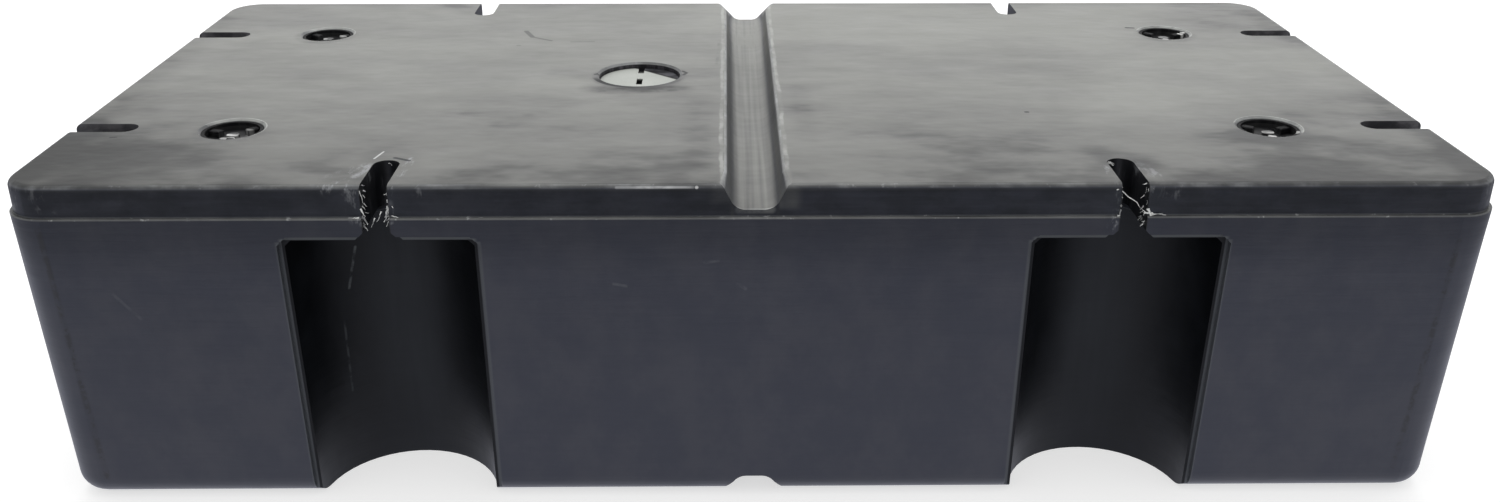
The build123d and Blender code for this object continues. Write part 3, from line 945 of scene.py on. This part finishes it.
def swarf(name, strands, slot_x, seed):
    """One slot's shreds: long strands by place, and a fringe of small ones down its two front edges."""
    chance = random.Random(seed)
    mesh = bmesh.new()
    for start, end, thick, bow in strands:
        strand(mesh, start, end, thick, bow, chance)
    front = -HALF_WIDTH / MM
    for inwards in (1, -1):
        wall_x = (slot_x - inwards * SLOT_HALF) / MM
        for _ in range(FRINGE_SHREDS):
            y = front + chance.uniform(*FRINGE_BEHIND)
            z = chance.uniform(*FRINGE_HEIGHT)
            across = chance.uniform(0.8, 4.0) * inwards
            reach = Vector((across, chance.uniform(-1.5, 1.0), chance.uniform(-5.0, 0.5)))
            start = Vector((wall_x - 0.4 * inwards, y, z))
            strand(mesh, start, start + reach, chance.uniform(0.4, 0.95), 0.5, chance)
    bmesh.ops.recalc_face_normals(mesh, faces=mesh.faces)
    data = bpy.data.meshes.new(name)
    mesh.to_mesh(data)
    mesh.free()
    data.materials.append(shred_finish)
    piece = bpy.data.objects.new(name, data)
    bpy.context.scene.collection.objects.link(piece)
    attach(piece, "root")
    print(name, len(data.polygons), "faces")


swarf("swarf_left", LEFT_STRANDS, -SLOT_X, seed=3)
swarf("swarf_right", RIGHT_STRANDS, SLOT_X, seed=8)

# %% [markdown]
# ## Floor
# The drum stands on a plain pale floor, which is white to the eye and keeps the drum's shadow. In the
# drum's satin sides it is mirrored as a bright strip that ends about half a metre away, as a sheet of
# paper laid under the drum would be; that is why the rim, which mirrors the floor further off, is darker
# than the wall below it. Light Path tells the floor whether it is looked at, mirrored or only lights
# something. Seen from below the floor lets light and sight through, so that the underside can be looked at
# too.

# %% Floor
FLOOR_HALF = 12.0
FLOOR_GREY = (0.55, 0.55, 0.55, 1.0)
WHITE = (1.0, 1.0, 1.0, 1.0)
MIRRORED_WHITE = (0.95, 0.97, 1.10, 1.0)
LOOKED_AT_GLOW = 0.62
FAR_GLOW, PAPER_GLOW = 0.36, 0.62
PAPER_END, PAPER_GONE = 0.48, 0.68


def floor_finish():
    """Pale floor, with one look for the eye, one for reflections and none from below."""
    finish = Finish("pale_floor")
    seen, through, mirrored = (
        finish.node("ShaderNodeLightPath", {}, output=f"Is {kind} Ray")
        for kind in ("Camera", "Transmission", "Glossy")
    )
    below = finish.node("ShaderNodeNewGeometry", {}, output="Backfacing")
    away = (abs(finish.x) - HALF_LENGTH).most(abs(finish.y) - HALF_WIDTH)
    glow = FAR_GLOW + PAPER_GLOW * away.rises(PAPER_GONE, PAPER_END)
    matt = finish.node("ShaderNodeBsdfDiffuse", {"Color": FLOOR_GREY})
    bright = finish.node("ShaderNodeEmission", {"Color": WHITE, "Strength": LOOKED_AT_GLOW})
    lit = finish.node("ShaderNodeAddShader", {0: matt, 1: bright})
    paper = finish.node("ShaderNodeEmission", {"Color": MIRRORED_WHITE, "Strength": glow})
    above = finish.blend(mirrored, finish.blend(seen.most(through), matt, lit), paper)
    return finish.close(finish.blend(below, above, finish.node("ShaderNodeBsdfTransparent", {})))


sheet = bmesh.new()
bmesh.ops.create_grid(sheet, x_segments=1, y_segments=1, size=FLOOR_HALF)
floor_mesh = bpy.data.meshes.new("floor")
sheet.to_mesh(floor_mesh)
sheet.free()
floor_mesh.materials.append(floor_finish())
floor = bpy.data.objects.new("floor", floor_mesh)
bpy.context.scene.collection.objects.link(floor)
print("floor, m:", [round(v, 1) for v in floor.dimensions])

# %% [markdown]
# ## Light
# A soft panel above and a long window behind give the top its sheen, and an even white sky fills the
# shadows. Many small lamps could do the same, but every one would draw its own highlight along the rounded
# edges, while the photograph shows one broad light only.


# %% Lamps and sky
def soft_lamp(name, place, target, size, power):
    """A rectangular soft box that looks at a point."""
    lamp = bpy.data.lights.new(name, "AREA")
    lamp.shape = "RECTANGLE"
    lamp.size, lamp.size_y = size
    lamp.energy = power
    body = bpy.data.objects.new(name, lamp)
    aim = (Vector(target) - Vector(place)).to_track_quat("-Z", "Y")
    body.matrix_world = Matrix.Translation(place) @ aim.to_matrix().to_4x4()
    bpy.context.scene.collection.objects.link(body)
    print(name, power, "W")


soft_lamp("sky_panel", place=(0.0, 0.6, 2.6), target=(0.0, 0.0, 0.2), size=(3.0, 2.0), power=42.0)
soft_lamp("window_behind", place=(0.5, 3.6, 1.15), target=(0.1, 0.2, 0.3), size=(6.0, 1.2), power=30.0)

SKY_STRENGTH = 0.75
world = bpy.data.worlds.new("studio")
bpy.context.scene.world = world
world.use_nodes = True
sky = world.node_tree.nodes["Background"]
sky.inputs["Color"].default_value = WHITE
sky.inputs["Strength"].default_value = SKY_STRENGTH
print("sky", SKY_STRENGTH)

bpy.context.scene.view_settings.view_transform = "Standard"
